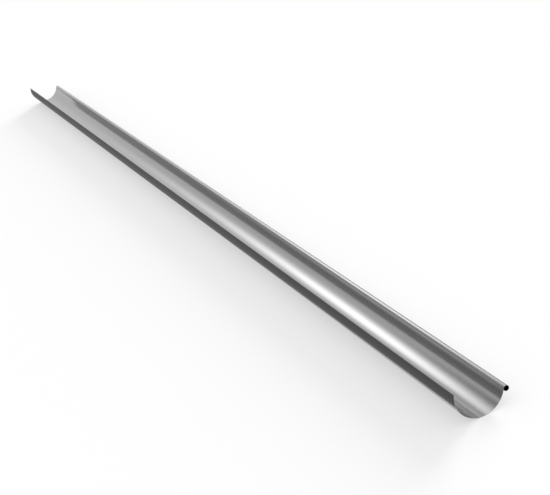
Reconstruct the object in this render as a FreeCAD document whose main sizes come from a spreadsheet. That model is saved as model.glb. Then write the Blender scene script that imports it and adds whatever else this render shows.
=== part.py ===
"""Half-round steel rain gutter, one roll-formed length.

One strip of coated steel sheet, bent into a half-round trough. The front edge
is rolled outwards into a bead that stiffens it and that brackets hook over.
The back edge is a plain cut edge. Both ends are sawn square.

The gutter lies loose on a level floor. Its bead makes the front heavier, so
the round trough rolls forwards until its centre of mass is under the axis of
the trough. Millimetres; X runs along the gutter, the bead is on the -Y side,
+Z is up and the origin is under the middle of the bounding box.
"""

import FreeCAD, Part

import math
import os

import Sketcher

PARTS_FOLDER = "parts"

# Alias, value and meaning of every driving dimension, in millimetres and degrees.
SIZES = [
    ("gutter_length", 4000.0, "length of the sawn section"),
    ("trough_width", 125.0, "outside diameter of the half-round trough"),
    ("sheet_thickness", 0.6, "steel sheet with its coating"),
    ("bead_diameter", 14.0, "outside diameter of the rolled front bead"),
    ("bead_drop", 1.5, "centre of the bead below the axis of the trough"),
    ("bead_turn", 325.0, "degrees through which the edge is rolled to form the bead"),
]

# The sub-part's label, which names its STEP file.
GUTTER = "gutter_section"

# How a sketch constraint names the points of an arc or line.
START = 1
END = 2
CENTRE = 3

# The sketch's own axis along Y of the body, whose start is also the sketch's origin.
LEVEL_AXIS = -1
ORIGIN = -1


def make_sheet(doc):
    """Writes the driving dimensions into a spreadsheet, each under its alias."""
    sheet = doc.addObject("Spreadsheet::Sheet", "Sizes")
    for row, (alias, value, meaning) in enumerate(SIZES, start=1):
        sheet.set(f"A{row}", meaning)
        sheet.set(f"B{row}", str(value))
        sheet.setAlias(f"B{row}", alias)
    doc.recompute()
    return sheet


def origin_plane(body, role):
    """One of the body's own origin planes, found by its role."""
    return next(f for f in body.Origin.OriginFeatures if f.Role == role)


def on_circle(centre, radius, degrees):
    """The point of a circle in the section plane at an angle from the +Y side."""
    angle = math.radians(degrees)
    return centre + radius * FreeCAD.Vector(math.cos(angle), math.sin(angle), 0)


def circle_arc(centre, radius, start_degrees, end_degrees):
    """An arc of the section, counter-clockwise from its start to its end."""
    circle = Part.Circle(centre, FreeCAD.Vector(0, 0, 1), radius)
    return Part.ArcOfCircle(circle, math.radians(start_degrees), math.radians(end_degrees))


def draw_section(body, sheet):
    """Sketches the bent strip: trough, rolled bead and the two cut edges."""
    sketch = body.newObject("Sketcher::SketchObject", "gutter_profile")
    sketch.AttachmentSupport = [(origin_plane(body, "YZ_Plane"), "")]
    sketch.MapMode = "FlatFace"

    outer_radius = sheet.trough_width / 2
    inner_radius = outer_radius - sheet.sheet_thickness
    bead_radius = sheet.bead_diameter / 2
    bore_radius = bead_radius - sheet.sheet_thickness

    # The bead's outside touches the trough's inside where the sheet turns over.
    axis = FreeCAD.Vector(0, 0, 0)
    axis_spacing = inner_radius + bead_radius
    dip = math.degrees(math.asin(sheet.bead_drop / axis_spacing))
    bead_axis = on_circle(axis, axis_spacing, 180 + dip)

    trough_inside = sketch.addGeometry(circle_arc(axis, inner_radius, 180 + dip, 360))
    trough_outside = sketch.addGeometry(circle_arc(axis, outer_radius, 180 + dip, 360))
    bead_outside = sketch.addGeometry(circle_arc(bead_axis, bead_radius, dip, dip + sheet.bead_turn))
    bead_inside = sketch.addGeometry(circle_arc(bead_axis, bore_radius, dip, dip + sheet.bead_turn))
    back_edge = sketch.addGeometry(
        Part.LineSegment(on_circle(axis, inner_radius, 0), on_circle(axis, outer_radius, 0))
    )
    rolled_edge = sketch.addGeometry(
        Part.LineSegment(
            on_circle(bead_axis, bead_radius, dip + sheet.bead_turn),
            on_circle(bead_axis, bore_radius, dip + sheet.bead_turn),
        )
    )

    def constrain(*values):
        """Adds a constraint to the sketch and returns its number."""
        return sketch.addConstraint(Sketcher.Constraint(*values))

    # One closed outline: the arcs of trough and bead run into each other.
    constrain("Coincident", trough_inside, CENTRE, ORIGIN, START)
    constrain("Coincident", trough_outside, CENTRE, ORIGIN, START)
    constrain("Coincident", bead_inside, CENTRE, bead_outside, CENTRE)
    constrain("Tangent", trough_inside, START, bead_outside, START)
    constrain("Tangent", trough_outside, START, bead_inside, START)
    constrain("Coincident", back_edge, START, trough_inside, END)
    constrain("Coincident", back_edge, END, trough_outside, END)
    constrain("Coincident", rolled_edge, START, bead_outside, END)
    constrain("Coincident", rolled_edge, END, bead_inside, END)
    # The back edge is level with the axis, and the rolled edge is cut square.
    constrain("PointOnObject", back_edge, START, LEVEL_AXIS)
    constrain("Horizontal", back_edge)
    constrain("PointOnObject", bead_outside, CENTRE, rolled_edge)

    driven = [
        (constrain("Radius", trough_outside, outer_radius), "trough_width / 2"),
        (constrain("Radius", trough_inside, inner_radius), "trough_width / 2 - {0}.sheet_thickness"),
        (constrain("Radius", bead_outside, bead_radius), "bead_diameter / 2"),
        (
            constrain("DistanceY", bead_outside, CENTRE, ORIGIN, START, sheet.bead_drop),
            "bead_drop",
        ),
        (
            constrain("Angle", bead_outside, math.radians(sheet.bead_turn)),
            "bead_turn * 1 deg",
        ),
    ]
    for index, size in driven:
        formula = "{0}." + size
        sketch.setExpression(f"Constraints[{index}]", formula.format(sheet.Name))
    return sketch


def make_gutter(doc, sheet):
    """Pads the section to the gutter's length, half of it to each side."""
    body = doc.addObject("PartDesign::Body", GUTTER)
    body.Label = GUTTER
    sketch = draw_section(body, sheet)
    doc.recompute()
    pad = body.newObject("PartDesign::Pad", "gutter_run")
    pad.Profile = sketch
    pad.Midplane = True
    pad.setExpression("Length", f"{sheet.Name}.gutter_length")
    doc.recompute()
    return body


def lay_on_floor(doc, body):
    """Rolls the gutter to where it comes to rest and stands it on the floor."""
    mass_centre = body.Shape.CenterOfGravity
    roll = math.degrees(math.atan2(-mass_centre.y, -mass_centre.z))
    along = FreeCAD.Vector(1, 0, 0)
    turned = body.Shape.copy()
    turned.rotate(FreeCAD.Vector(0, 0, 0), along, roll)
    box = turned.optimalBoundingBox(False, False)
    seat = FreeCAD.Vector(0, -box.Center.y, -box.ZMin)
    body.Placement = FreeCAD.Placement(seat, FreeCAD.Rotation(along, roll))
    doc.recompute()
    print(f"rest roll {roll:.3f} degrees, trough axis at y {seat.y:.3f} z {seat.z:.3f} mm")


def check_and_export(doc, pieces):
    """Stops on a failed object or a bad shape, then writes one STEP file a piece."""
    for item in doc.Objects:
        if "Invalid" in item.State or "Error" in item.State:
            raise RuntimeError(f"{item.Label} failed: {item.State}")
    for piece in pieces:
        if piece.Shape.isNull() or not piece.Shape.isValid():
            raise RuntimeError(f"{piece.Label} has no valid shape")
    os.makedirs(PARTS_FOLDER, exist_ok=True)
    for piece in pieces:
        piece.Shape.exportStep(os.path.join(PARTS_FOLDER, f"{piece.Label}.step"))
        print(f"{piece.Label}: {len(piece.Shape.Solids)} solid, {piece.Shape.Volume / 1000:.2f} cm3")


def main():
    """Makes the document, the gutter in it and the gutter's STEP file."""
    doc = FreeCAD.newDocument("rain_gutter")
    sheet = make_sheet(doc)
    gutter = make_gutter(doc, sheet)
    lay_on_floor(doc, gutter)
    check_and_export(doc, [gutter])


main()
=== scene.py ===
"""Half-round steel rain gutter, one roll-formed length lying on a studio floor.

The gutter rests rolled towards its bead, as it does when it is laid down loose.
Sizes are in metres. The section is drawn in the gutter's own level frame, with
the trough's axis as its origin, Y towards the plain back edge and Z up, and is
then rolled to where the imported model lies.
"""

import logging
import math
from dataclasses import dataclass, field
from enum import IntEnum

import bmesh
import bpy
from mathutils import Matrix, Vector


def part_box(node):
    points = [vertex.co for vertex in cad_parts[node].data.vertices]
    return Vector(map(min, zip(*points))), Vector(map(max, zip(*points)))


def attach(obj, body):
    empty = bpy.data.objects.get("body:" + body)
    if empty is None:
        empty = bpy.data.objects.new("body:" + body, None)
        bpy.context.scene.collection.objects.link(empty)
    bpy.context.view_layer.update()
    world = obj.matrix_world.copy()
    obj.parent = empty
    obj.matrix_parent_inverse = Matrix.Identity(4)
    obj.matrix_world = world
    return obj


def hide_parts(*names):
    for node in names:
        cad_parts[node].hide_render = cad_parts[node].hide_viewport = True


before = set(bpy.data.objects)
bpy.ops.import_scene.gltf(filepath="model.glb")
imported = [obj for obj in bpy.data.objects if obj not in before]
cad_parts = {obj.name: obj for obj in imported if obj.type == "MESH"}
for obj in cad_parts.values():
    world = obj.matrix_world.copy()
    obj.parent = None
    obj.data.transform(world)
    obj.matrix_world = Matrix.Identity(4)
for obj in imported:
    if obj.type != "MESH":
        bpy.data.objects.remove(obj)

CAD_NODE = "gutter_section"
NUMBER_SOCKET = "NodeSocketFloat"
LINE_DETAIL = 3.0
CLOUD_DETAIL = 4.0

log = logging.getLogger("gutter")


class Face(IntEnum):
    """The gutter's kinds of face, numbered as its mesh numbers their finishes."""

    SHEET = 0
    SAWN_END = 1


# --------------------------------------------------------------------------
# Shader helpers
# --------------------------------------------------------------------------


@dataclass
class NodeSheet:
    """A node tree with short ways to add and join its nodes."""

    tree: bpy.types.NodeTree

    def add(self, kind: str, **settings: object) -> bpy.types.Node:
        """Adds a node and sets its properties.

        Args:
            kind: Blender's name of the node type.
            **settings: property names and their values.

        Returns:
            The new node.
        """
        node = self.tree.nodes.new(kind)
        for name, value in settings.items():
            setattr(node, name, value)
        return node

    def join(self, source: bpy.types.NodeSocket, target: bpy.types.NodeSocket) -> None:
        """Links an output to an input."""
        self.tree.links.new(source, target)

    def maths(self, operation: str, first: object, second: object) -> bpy.types.NodeSocket:
        """Adds a Math node.

        Args:
            operation: the node's operation, such as MULTIPLY.
            first: a number, or the socket that gives it.
            second: a number, or the socket that gives it.

        Returns:
            The node's result.
        """
        node = self.add("ShaderNodeMath", operation=operation)
        for socket, value in zip(node.inputs, (first, second)):
            if isinstance(value, bpy.types.NodeSocket):
                self.join(value, socket)
            else:
                socket.default_value = value
        return node.outputs[0]

    def dot(self, first: bpy.types.NodeSocket, second: Vector) -> bpy.types.NodeSocket:
        """Adds a dot product.

        Args:
            first: the socket of one vector.
            second: the other vector.

        Returns:
            The product.
        """
        node = self.add("ShaderNodeVectorMath", operation="DOT_PRODUCT")
        self.join(first, node.inputs[0])
        node.inputs[1].default_value = second
        return node.outputs["Value"]

    def rise(self, value: bpy.types.NodeSocket, start: float, end: float) -> bpy.types.NodeSocket:
        """Rises smoothly from 0 to 1 while a value goes from start to end.

        Args:
            value: the socket of the value.
            start: the value at which the rise begins.
            end: the value at which it is complete.

        Returns:
            The height of the rise.
        """
        node = self.add("ShaderNodeMapRange", interpolation_type="SMOOTHSTEP")
        self.join(value, node.inputs["Value"])
        node.inputs["From Min"].default_value = start
        node.inputs["From Max"].default_value = end
        return node.outputs[0]

    def spread(self, value: bpy.types.NodeSocket, low: object, high: object) -> bpy.types.NodeSocket:
        """Maps a value between 0 and 1 to one between low and high.

        Args:
            value: the socket to map.
            low: a number or socket, the result at 0.
            high: a number or socket, the result at 1.

        Returns:
            The mapped value.
        """
        node = self.add("ShaderNodeMapRange")
        self.join(value, node.inputs["Value"])
        for name, end in (("To Min", low), ("To Max", high)):
            if isinstance(end, bpy.types.NodeSocket):
                self.join(end, node.inputs[name])
            else:
                node.inputs[name].default_value = end
        return node.outputs[0]


def new_mask_group(name: str, inputs: dict[str, float]) -> bpy.types.NodeTree:
    """Makes an empty shader node group that is to put out a mask.

    Args:
        name: the group's name.
        inputs: each number input and its default.

    Returns:
        The group's tree, with its Group Input and Group Output nodes.
    """
    tree = bpy.data.node_groups.new(name, "ShaderNodeTree")
    for label, default in inputs.items():
        socket = tree.interface.new_socket(label, in_out="INPUT", socket_type=NUMBER_SOCKET)
        socket.default_value = default
    tree.interface.new_socket("Mask", in_out="OUTPUT", socket_type=NUMBER_SOCKET)
    tree.nodes.new("NodeGroupInput")
    tree.nodes.new("NodeGroupOutput")
    return tree


def rolling_lines_group() -> bpy.types.NodeTree:
    """Makes the group for the faint lines that the forming rolls leave along the sheet.

    Returns:
        The group. It puts out a mask between 0 and 1.
    """
    tree = new_mask_group("rolling_lines", {"Lines per metre": 900.0, "Length of a line": 1.2})
    sheet = NodeSheet(tree)
    given = tree.nodes["Group Input"]
    place = sheet.add("ShaderNodeTexCoord")
    across = sheet.add("ShaderNodeCombineXYZ")
    along = sheet.maths("DIVIDE", 1.0, given.outputs["Length of a line"])
    sheet.join(along, across.inputs["X"])
    sheet.join(given.outputs["Lines per metre"], across.inputs["Y"])
    sheet.join(given.outputs["Lines per metre"], across.inputs["Z"])
    stretched = sheet.add("ShaderNodeVectorMath", operation="MULTIPLY")
    sheet.join(place.outputs["Object"], stretched.inputs[0])
    sheet.join(across.outputs["Vector"], stretched.inputs[1])
    noise = sheet.add("ShaderNodeTexNoise")
    noise.inputs["Scale"].default_value = 1.0
    noise.inputs["Detail"].default_value = LINE_DETAIL
    sheet.join(stretched.outputs["Vector"], noise.inputs["Vector"])
    sheet.join(noise.outputs["Fac"], tree.nodes["Group Output"].inputs["Mask"])
    return tree


def zinc_bloom_group() -> bpy.types.NodeTree:
    """Makes the group for the soft mottling of the zinc coat.

    Returns:
        The group. It puts out a mask between 0 and 1.
    """
    tree = new_mask_group("zinc_bloom", {"Spangles per metre": 220.0, "Clouds per metre": 9.0})
    sheet = NodeSheet(tree)
    given = tree.nodes["Group Input"]
    place = sheet.add("ShaderNodeTexCoord")
    spangle = sheet.add("ShaderNodeTexVoronoi", feature="SMOOTH_F1")
    sheet.join(place.outputs["Object"], spangle.inputs["Vector"])
    sheet.join(given.outputs["Spangles per metre"], spangle.inputs["Scale"])
    facet = sheet.add("ShaderNodeSeparateColor")
    sheet.join(spangle.outputs["Color"], facet.inputs["Color"])
    cloud = sheet.add("ShaderNodeTexNoise")
    cloud.inputs["Detail"].default_value = CLOUD_DETAIL
    sheet.join(place.outputs["Object"], cloud.inputs["Vector"])
    sheet.join(given.outputs["Clouds per metre"], cloud.inputs["Scale"])
    both = sheet.maths("ADD", facet.outputs["Red"], cloud.outputs["Fac"])
    half = sheet.maths("MULTIPLY", both, 0.5)
    sheet.join(half, tree.nodes["Group Output"].inputs["Mask"])
    return tree


# --------------------------------------------------------------------------
# Finishes of the gutter
# --------------------------------------------------------------------------


@dataclass(frozen=True)
class SteelFinish:
    """A steel surface with rolling lines and a mottled coat."""

    name: str
    dark: tuple[float, float, float]
    light: tuple[float, float, float]
    smooth: float
    rough: float
    spangles_per_metre: float
    lines_per_metre: float
    line_depth: float

    def material(self, lines: bpy.types.NodeTree, bloom: bpy.types.NodeTree) -> bpy.types.Material:
        """Builds the material.

        Args:
            lines: the group that draws the rolling lines.
            bloom: the group that mottles the coat.

        Returns:
            The new material.
        """
        made = bpy.data.materials.new(self.name)
        made.use_nodes = True
        sheet = NodeSheet(made.node_tree)
        surface = made.node_tree.nodes["Principled BSDF"]
        surface.inputs["Metallic"].default_value = 1.0

        streaks = sheet.add("ShaderNodeGroup", node_tree=lines)
        streaks.inputs["Lines per metre"].default_value = self.lines_per_metre
        mottle = sheet.add("ShaderNodeGroup", node_tree=bloom)
        mottle.inputs["Spangles per metre"].default_value = self.spangles_per_metre

        tone = sheet.add("ShaderNodeMix", data_type="RGBA")
        tone.inputs["A"].default_value = (*self.dark, 1.0)
        tone.inputs["B"].default_value = (*self.light, 1.0)
        sheet.join(mottle.outputs["Mask"], tone.inputs["Factor"])
        sheet.join(tone.outputs["Result"], surface.inputs["Base Color"])

        blend = sheet.maths("ADD", streaks.outputs["Mask"], mottle.outputs["Mask"])
        half = sheet.maths("MULTIPLY", blend, 0.5)
        sheet.join(sheet.spread(half, self.smooth, self.rough), surface.inputs["Roughness"])

        bump = sheet.add("ShaderNodeBump")
        bump.inputs["Distance"].default_value = self.line_depth
        sheet.join(streaks.outputs["Mask"], bump.inputs["Height"])
        sheet.join(bump.outputs["Normal"], surface.inputs["Normal"])
        return made


ZINC_COAT = SteelFinish(
    name="zinc_coat",
    dark=(0.266, 0.266, 0.268),
    light=(0.294, 0.294, 0.294),
    smooth=0.14,
    rough=0.19,
    spangles_per_metre=220.0,
    lines_per_metre=900.0,
    line_depth=0.0000006,
)

CUT_STEEL = SteelFinish(
    name="cut_steel",
    dark=(0.30, 0.30, 0.30),
    light=(0.45, 0.45, 0.45),
    smooth=0.35,
    rough=0.5,
    spangles_per_metre=900.0,
    lines_per_metre=2500.0,
    line_depth=0.00001,
)


# --------------------------------------------------------------------------
# The gutter
# --------------------------------------------------------------------------


@dataclass
class GutterRun:
    """The roll-formed length: half-round trough, rolled front bead, plain back edge."""

    trough_width: float = 0.125
    sheet: float = 0.0006
    bead_diameter: float = 0.014
    bead_drop: float = 0.0015
    bead_turn: float = math.radians(325.0)
    trough_steps: int = 90
    bead_steps: int = 72
    bays: int = 40
    edge_round: float = 0.00012
    edge_round_steps: int = 2
    round_above: float = math.radians(60.0)
    smooth_below: float = math.radians(15.0)
    low: Vector = field(default_factory=lambda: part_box(CAD_NODE)[0])
    high: Vector = field(default_factory=lambda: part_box(CAD_NODE)[1])

    @property
    def outer_radius(self) -> float:
        """Outside radius of the trough."""
        return self.trough_width / 2

    @property
    def inner_radius(self) -> float:
        """Inside radius of the trough."""
        return self.outer_radius - self.sheet

    @property
    def roll(self) -> float:
        """How far the gutter is rolled towards its bead, from the height of its back edge."""
        return math.asin((self.high.z - self.outer_radius) / self.outer_radius)

    @property
    def axis(self) -> Vector:
        """The middle of the trough's axis, above its line of contact with the floor."""
        return Vector((0.0, self.high.y - self.outer_radius, self.outer_radius))

    @property
    def placement(self) -> Matrix:
        """Takes the gutter's level frame to where it lies."""
        return Matrix.Translation(self.axis) @ Matrix.Rotation(self.roll, 4, "X")

    @property
    def bead_spacing(self) -> float:
        """Distance from the trough's axis to the bead's, where one turns into the other."""
        return self.inner_radius + self.bead_diameter / 2

    @property
    def dip(self) -> float:
        """Angle by which the bead's axis lies below the level of the trough's."""
        return math.asin(self.bead_drop / self.bead_spacing)

    def build(self, coat: bpy.types.Material, cut: bpy.types.Material) -> bpy.types.Object:
        """Models the gutter and puts it in the scene.

        Args:
            coat: the finish of the sheet's two faces.
            cut: the finish of its cut edges.

        Returns:
            The gutter's object.
        """
        shape = bmesh.new()
        self.bend_section(shape)
        self.run_along(shape)
        bmesh.ops.recalc_face_normals(shape, faces=shape.faces)
        self.mark_cut_faces(shape)
        self.ease_edges(shape)
        bmesh.ops.transform(shape, matrix=self.placement, verts=shape.verts)
        mesh = bpy.data.meshes.new("gutter_run")
        shape.to_mesh(mesh)
        shape.free()
        finishes = {Face.SHEET: coat, Face.SAWN_END: cut}
        for kind in Face:
            mesh.materials.append(finishes[kind])
        mesh.shade_smooth()
        mesh.set_sharp_from_angle(angle=self.smooth_below)
        piece = bpy.data.objects.new("gutter_run", mesh)
        bpy.context.scene.collection.objects.link(piece)
        return piece

    def bend_section(self, shape: bmesh.types.BMesh) -> None:
        """Bends the sheet's section: half a circle, then the bead the other way.

        Args:
            shape: the empty mesh, which gets the flat section at the low end.
        """
        start = self.low.x
        inner = shape.verts.new((start, self.inner_radius, 0.0))
        outer = shape.verts.new((start, self.outer_radius, 0.0))
        back_edge = shape.edges.new((inner, outer))
        trough = bmesh.ops.spin(
            shape,
            geom=[inner, outer, back_edge],
            cent=(start, 0.0, 0.0),
            axis=(1.0, 0.0, 0.0),
            angle=-(math.pi - self.dip),
            steps=self.trough_steps,
            use_merge=False,
        )
        bead_y = -self.bead_spacing * math.cos(self.dip)
        bmesh.ops.spin(
            shape,
            geom=trough["geom_last"],
            cent=(start, bead_y, -self.bead_drop),
            axis=(1.0, 0.0, 0.0),
            angle=self.bead_turn,
            steps=self.bead_steps,
            use_merge=False,
        )

    def run_along(self, shape: bmesh.types.BMesh) -> None:
        """Extrudes the section to the gutter's length, bay by bay.

        Args:
            shape: the mesh that holds the flat section.
        """
        bay = (self.high.x - self.low.x) / self.bays
        front = list(shape.faces)
        # The first section stays as the low end's face. Those between two bays go.
        for number in range(self.bays):
            moved = bmesh.ops.extrude_face_region(shape, geom=front)["geom"]
            if number > 0:
                bmesh.ops.delete(shape, geom=front, context="FACES_ONLY")
            front = [item for item in moved if isinstance(item, bmesh.types.BMFace)]
            ring = [item for item in moved if isinstance(item, bmesh.types.BMVert)]
            bmesh.ops.translate(shape, vec=(bay, 0.0, 0.0), verts=ring)

    def mark_cut_faces(self, shape: bmesh.types.BMesh) -> None:
        """Gives the cut finish to the two sawn ends.

        Args:
            shape: the closed mesh, before its edges are eased.
        """
        for face in shape.faces:
            if abs(face.normal.x) > max(abs(face.normal.y), abs(face.normal.z)):
                face.material_index = Face.SAWN_END

    def ease_edges(self, shape: bmesh.types.BMesh) -> None:
        """Rounds every sharp edge of the sheet a little.

        Args:
            shape: the closed mesh.
        """
        sharp = [edge for edge in shape.edges if edge.calc_face_angle(0.0) > self.round_above]
        bmesh.ops.bevel(
            shape,
            geom=sharp,
            affect="EDGES",
            offset=self.edge_round,
            offset_type="OFFSET",
            segments=self.edge_round_steps,
            profile=0.5,
            material=-1,
        )


# --------------------------------------------------------------------------
# The studio
# --------------------------------------------------------------------------


@dataclass(frozen=True)
class Softbox:
    """A soft lamp with a hot middle, hung far off, which only the metal sees. Angles are in degrees."""

    azimuth: float
    elevation: float
    lean: float
    spread_across: float
    spread_up: float
    brightness: float

    @property
    def facing(self) -> Matrix:
        """Turns X towards the lamp, Y along its width and Z along its height.

        Returns:
            The turn, as a 3 by 3 matrix.
        """
        turn = Matrix.Rotation(math.radians(self.azimuth), 3, "Z")
        tip = Matrix.Rotation(-math.radians(self.elevation), 3, "Y")
        return turn @ tip @ Matrix.Rotation(math.radians(self.lean), 3, "X")

    def glow(self, sheet: NodeSheet, direction: bpy.types.NodeSocket) -> bpy.types.NodeSocket:
        """Works out how much of the lamp shows in a direction.

        Args:
            sheet: the world's nodes.
            direction: the direction that is looked in.

        Returns:
            The lamp's brightness there.
        """
        facing = self.facing
        squares = []
        for column, spread in ((1, self.spread_across), (2, self.spread_up)):
            aside = sheet.dot(direction, facing.col[column] / math.sin(math.radians(spread)))
            squares.append(sheet.maths("MULTIPLY", aside, aside))
        fall = sheet.maths("MULTIPLY", sheet.maths("ADD", *squares), -0.5)
        spot = sheet.maths("MULTIPLY", sheet.maths("EXPONENT", fall, 0.0), self.brightness)
        ahead = sheet.maths("GREATER_THAN", sheet.dot(direction, facing.col[0]), 0.0)
        return sheet.maths("MULTIPLY", spot, ahead)


@dataclass(frozen=True)
class Card:
    """A plain, dimly glowing card lying on the floor beside the gutter, which only the metal sees, where
    it paints a dark reflection in place of the white floor.
    """

    name: str
    tone: float
    corners: tuple[tuple[float, float], ...]
    height: float = 0.0002

    def lay(self) -> bpy.types.Object:
        """Adds the card.

        Returns:
            The card's object.
        """
        shape = bmesh.new()
        shape.faces.new([shape.verts.new((x, y, self.height)) for x, y in self.corners])
        mesh = bpy.data.meshes.new(self.name)
        shape.to_mesh(mesh)
        shape.free()
        made = bpy.data.materials.new(self.name)
        made.use_nodes = True
        sheet = NodeSheet(made.node_tree)
        glow = sheet.add("ShaderNodeEmission")
        glow.inputs["Strength"].default_value = self.tone
        sheet.join(glow.outputs["Emission"], made.node_tree.nodes["Material Output"].inputs["Surface"])
        mesh.materials.append(made)
        card = bpy.data.objects.new(self.name, mesh)
        # Hidden from the camera, diffuse and transmission rays and shadows, so the card only paints a
        # dark reflection in the metal.
        card.visible_camera = False
        card.visible_diffuse = False
        card.visible_transmission = False
        card.visible_shadow = False
        bpy.context.scene.collection.objects.link(card)
        return card


SOFTBOXES = (
    Softbox(azimuth=-2.8, elevation=33.2, lean=-4.6, spread_across=10.0, spread_up=4.3, brightness=4.25),
    Softbox(azimuth=182.8, elevation=33.2, lean=4.6, spread_across=10.0, spread_up=4.3, brightness=4.25),
    Softbox(azimuth=-38.0, elevation=3.0, lean=0.0, spread_across=12.0, spread_up=10.0, brightness=0.5),
    Softbox(azimuth=0.0, elevation=90.0, lean=0.0, spread_across=14.0, spread_up=16.0, brightness=1.5),
)
# Dim glowing cards beside the gutter that paint dark reflections of the floor into the metal.
CARDS = (
    Card(name="back_reflection_card", tone=0.22, corners=((-3.0, 0.085), (2.6, 0.03), (2.6, 0.8), (-3.0, 0.8))),
    Card(name="front_reflection_card", tone=0.12, corners=((-3.0, -0.8), (4.0, -0.8), (4.0, -0.06), (-3.0, -0.06))),
)


def ray_kinds(sheet: NodeSheet) -> tuple[bpy.types.NodeSocket, bpy.types.NodeSocket]:
    """Tells rays that show a surface from those that light it.

    Args:
        sheet: the material's or world's nodes.

    Returns:
        A socket that is 1 for a camera ray, and one that is 1 for a ray in metal or through glass.
    """
    path = sheet.add("ShaderNodeLightPath")
    mirrored = sheet.maths("MAXIMUM", path.outputs["Is Glossy Ray"], path.outputs["Is Transmission Ray"])
    return path.outputs["Is Camera Ray"], mirrored


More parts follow.
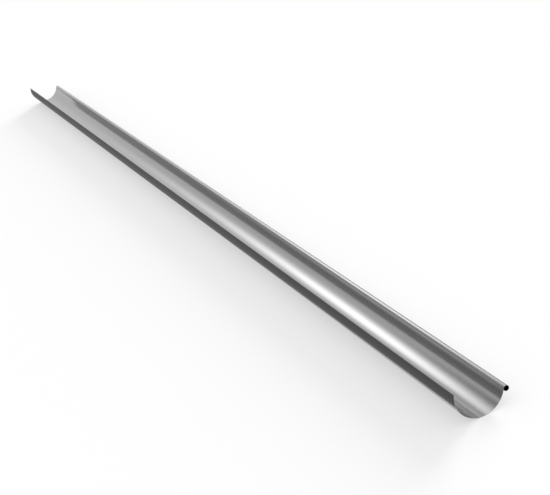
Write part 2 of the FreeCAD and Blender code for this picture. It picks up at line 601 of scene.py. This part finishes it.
@dataclass
class Studio:
    """Floor, lamps, world and camera.

    The metal sees a pale room, a dimmer ceiling and, high up past the far end, a
    dark flag. A rise is the range of a direction's height, or of its share along
    the gutter, over which the ceiling or the flag begins. The camera's stand and
    aim are places in the gutter's level frame.
    """

    gutter: GutterRun
    floor_reach: float = 60.0
    floor_colour: float = 0.95
    floor_glow: float = 0.5
    world_light: float = 0.79
    horizon: float = 1.05
    ceiling: float = 0.8
    ceiling_rise: tuple[float, float] = (math.sin(math.radians(24.0)), math.sin(math.radians(35.0)))
    flag: float = 0.08
    flag_rise: tuple[float, float] = (0.6, 0.8)
    sun_strength: float = 3.8
    sun_angle: float = math.radians(30.0)
    sun_bearing: tuple[float, float, float] = (0.9, -1.0, 0.30)
    lens: float = 88.8
    sensor: float = 36.0
    stand: tuple[float, float, float] = (-4.3338, 1.4835, 1.1142)
    aim: tuple[float, float, float] = (-0.8524, -0.0023, 0.0031)
    lean: float = math.radians(1.392)

    def set_up(self) -> None:
        """Builds the whole studio."""
        self.lay_floor()
        self.light_world()
        self.hang_lamps()
        self.stand_camera()

    def lay_floor(self) -> None:
        """Lays a pale floor that reads as white and keeps the gutter's shadow."""
        shape = bmesh.new()
        bmesh.ops.create_grid(shape, x_segments=1, y_segments=1, size=self.floor_reach)
        mesh = bpy.data.meshes.new("floor")
        shape.to_mesh(mesh)
        shape.free()
        floor = bpy.data.objects.new("floor", mesh)
        bpy.context.scene.collection.objects.link(floor)
        made = bpy.data.materials.new("floor_paint")
        made.use_nodes = True
        sheet = NodeSheet(made.node_tree)
        surface = made.node_tree.nodes["Principled BSDF"]
        surface.inputs["Base Color"].default_value = (self.floor_colour,) * 3 + (1.0,)
        surface.inputs["Roughness"].default_value = 1.0
        surface.inputs["Specular IOR Level"].default_value = 0.0
        white = sheet.add("ShaderNodeEmission")
        blend = sheet.add("ShaderNodeMixShader")
        seen = sheet.maths("MAXIMUM", *ray_kinds(sheet))
        share = sheet.maths("MULTIPLY", seen, self.floor_glow)
        sheet.join(share, blend.inputs["Fac"])
        sheet.join(surface.outputs["BSDF"], blend.inputs[1])
        sheet.join(white.outputs["Emission"], blend.inputs[2])
        sheet.join(blend.outputs["Shader"], made.node_tree.nodes["Material Output"].inputs["Surface"])
        mesh.materials.append(made)
        log.info("%s: %.0f m across", floor.name, 2 * self.floor_reach)

    def light_world(self) -> None:
        """Makes the room that lights the floor, that the metal mirrors and that is white to the eye."""
        world = bpy.data.worlds.new("studio")
        world.use_nodes = True
        sheet = NodeSheet(world.node_tree)
        background = world.node_tree.nodes["Background"]
        background.inputs["Color"].default_value = (1.0, 1.0, 1.0, 1.0)
        place = sheet.add("ShaderNodeTexCoord")
        direction = sheet.add("ShaderNodeSeparateXYZ")
        sheet.join(place.outputs["Generated"], direction.inputs["Vector"])
        above = sheet.rise(direction.outputs["Z"], *self.ceiling_rise)
        ahead = sheet.rise(direction.outputs["X"], *self.flag_rise)
        room = sheet.spread(above, self.horizon, self.ceiling)
        shown = sheet.spread(sheet.maths("MULTIPLY", above, ahead), room, self.flag)
        for softbox in SOFTBOXES:
            shown = sheet.maths("ADD", shown, softbox.glow(sheet, place.outputs["Generated"]))
        straight, mirrored = ray_kinds(sheet)
        lit = sheet.spread(mirrored, self.world_light, shown)
        level = sheet.spread(straight, lit, 1.0)
        sheet.join(level, background.inputs["Strength"])
        bpy.context.scene.world = world

    def hang_lamps(self) -> None:
        """Hangs the key light, which shades the floor, and lays the two cards that paint dark reflections
        in the metal.
        """
        data = bpy.data.lights.new("key", "SUN")
        data.energy = self.sun_strength
        data.angle = self.sun_angle
        key = bpy.data.objects.new("key", data)
        key.rotation_euler = Vector(self.sun_bearing).to_track_quat("Z", "Y").to_euler()
        key.visible_glossy = False
        bpy.context.scene.collection.objects.link(key)
        for card in CARDS:
            laid = card.lay()
            log.info("%s: laid for the metal to mirror", laid.name)

    def stand_camera(self) -> None:
        """Stands the camera beside the near end, looking along the gutter."""
        data = bpy.data.cameras.new("camera")
        data.lens = self.lens
        data.sensor_width = self.sensor
        data.clip_end = 2 * self.floor_reach
        camera = bpy.data.objects.new("camera", data)
        place = self.gutter.placement
        eye = Vector(self.stand)
        forward = Vector(self.aim) - eye
        level = forward.to_track_quat("-Z", "Y").to_matrix().to_4x4()
        camera.matrix_world = place @ Matrix.Translation(eye) @ level @ Matrix.Rotation(self.lean, 4, "Z")
        bpy.context.scene.collection.objects.link(camera)
        bpy.context.scene.camera = camera


def main() -> None:
    """Builds the gutter, then the studio around it."""
    logging.basicConfig(level=logging.INFO, format="%(name)s: %(message)s")
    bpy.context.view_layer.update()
    bpy.context.scene.view_settings.view_transform = "Standard"

    lines = rolling_lines_group()
    bloom = zinc_bloom_group()
    gutter = GutterRun()
    piece = gutter.build(ZINC_COAT.material(lines, bloom), CUT_STEEL.material(lines, bloom))
    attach(piece, "root")
    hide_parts(CAD_NODE)
    faces = len(piece.data.polygons)
    log.info("%s: %d faces, rolled %.2f degrees", piece.name, faces, math.degrees(gutter.roll))

    Studio(gutter).set_up()


if __name__ == "__main__":
    main()
